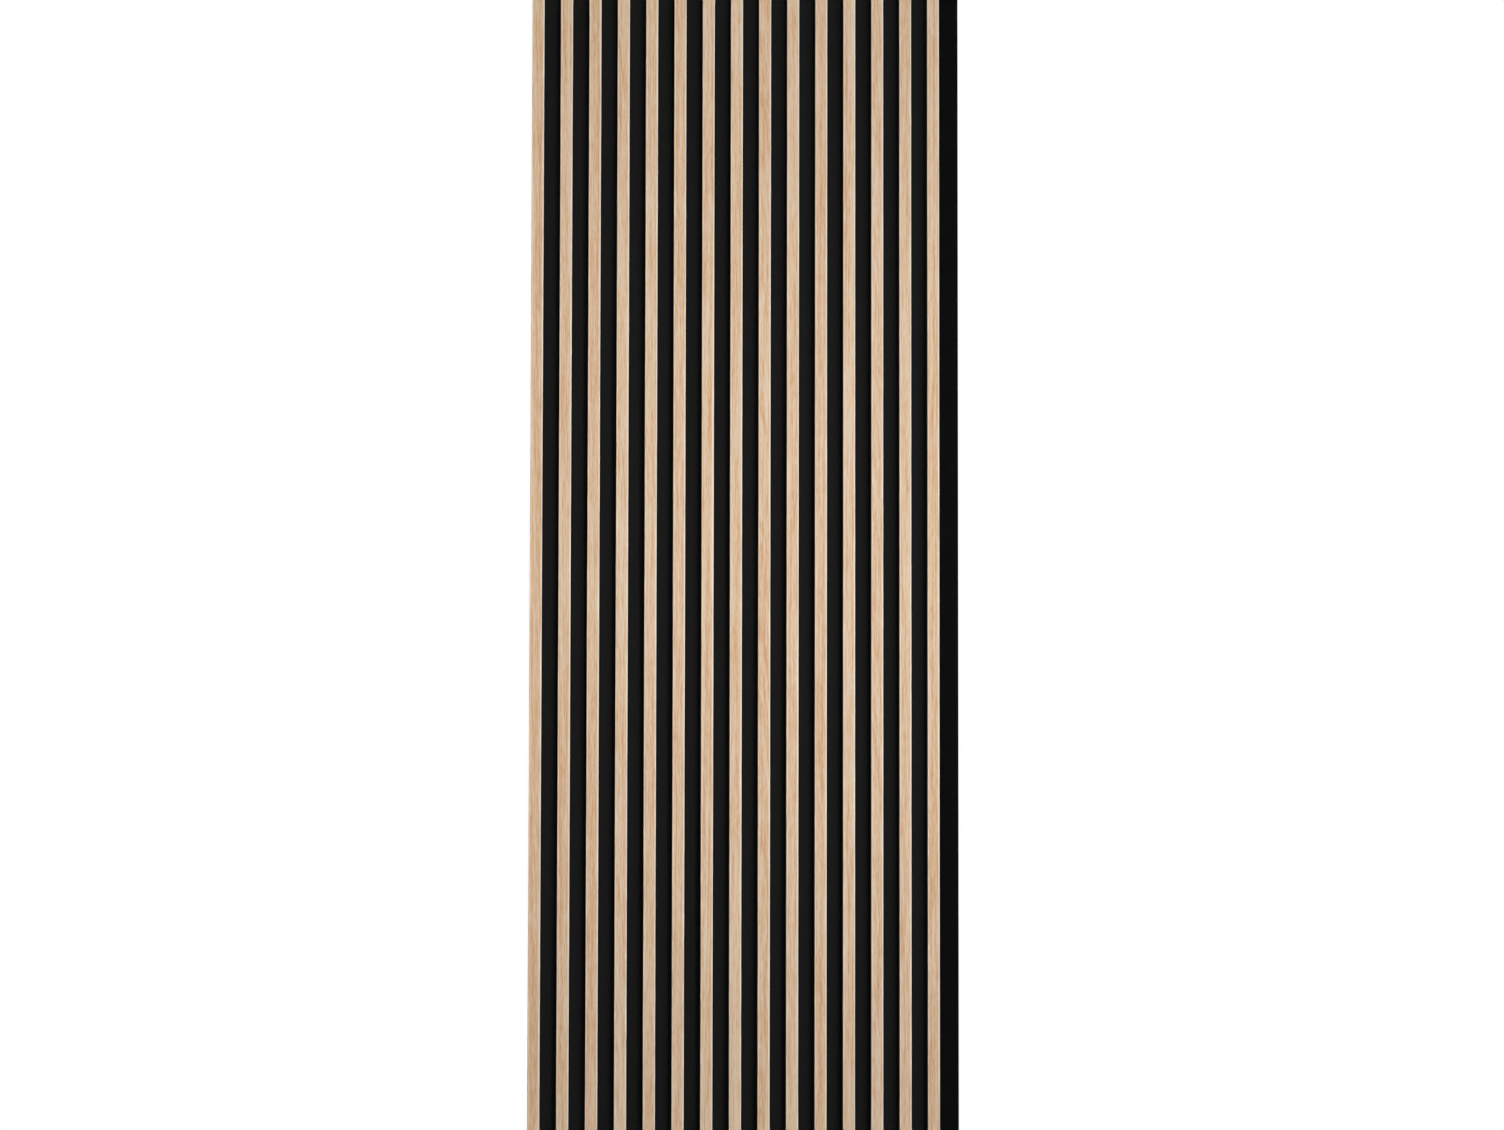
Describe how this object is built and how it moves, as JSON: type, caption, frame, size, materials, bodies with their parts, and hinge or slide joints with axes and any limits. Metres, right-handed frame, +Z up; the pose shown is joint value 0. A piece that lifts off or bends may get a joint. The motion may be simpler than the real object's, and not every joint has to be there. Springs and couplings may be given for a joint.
{
  "type": "slatted wall panel",
  "caption": "Flat wall panel of narrow upright oak-faced slats on a thin black board, with a lap along one side so that the next panel carries on the slats.",
  "frame": {"origin": "centre of the board's back face, which goes against the wall", "axes": "+Z up along the slats, +Y into the wall, +X to the right as seen from the room"},
  "size_m": [0.4, 0.012, 2.6],
  "materials": {
    "black_board": "black fibreboard, smooth satin front",
    "black_core": "black fibreboard, planed matt sides",
    "oak_veneer": "light oak veneer, matt lacquer, fine straight grain"
  },
  "bodies": {
    "root": {"back_board": "black_board", "slat_core_01": "black_core", "slat_face_01": "oak_veneer", "slat_core_02": "black_core", "slat_face_02": "oak_veneer", "slat_core_03": "black_core", "slat_face_03": "oak_veneer", "slat_core_04": "black_core", "slat_face_04": "oak_veneer", "slat_core_05": "black_core", "slat_face_05": "oak_veneer", "slat_core_06": "black_core", "slat_face_06": "oak_veneer", "slat_core_07": "black_core", "slat_face_07": "oak_veneer", "slat_core_08": "black_core", "slat_face_08": "oak_veneer", "slat_core_09": "black_core", "slat_face_09": "oak_veneer", "slat_core_10": "black_core", "slat_face_10": "oak_veneer", "slat_core_11": "black_core", "slat_face_11": "oak_veneer", "slat_core_12": "black_core", "slat_face_12": "oak_veneer", "slat_core_13": "black_core", "slat_face_13": "oak_veneer", "slat_core_14": "black_core", "slat_face_14": "oak_veneer", "slat_core_15": "black_core", "slat_face_15": "oak_veneer"}
  },
  "joints": []
}
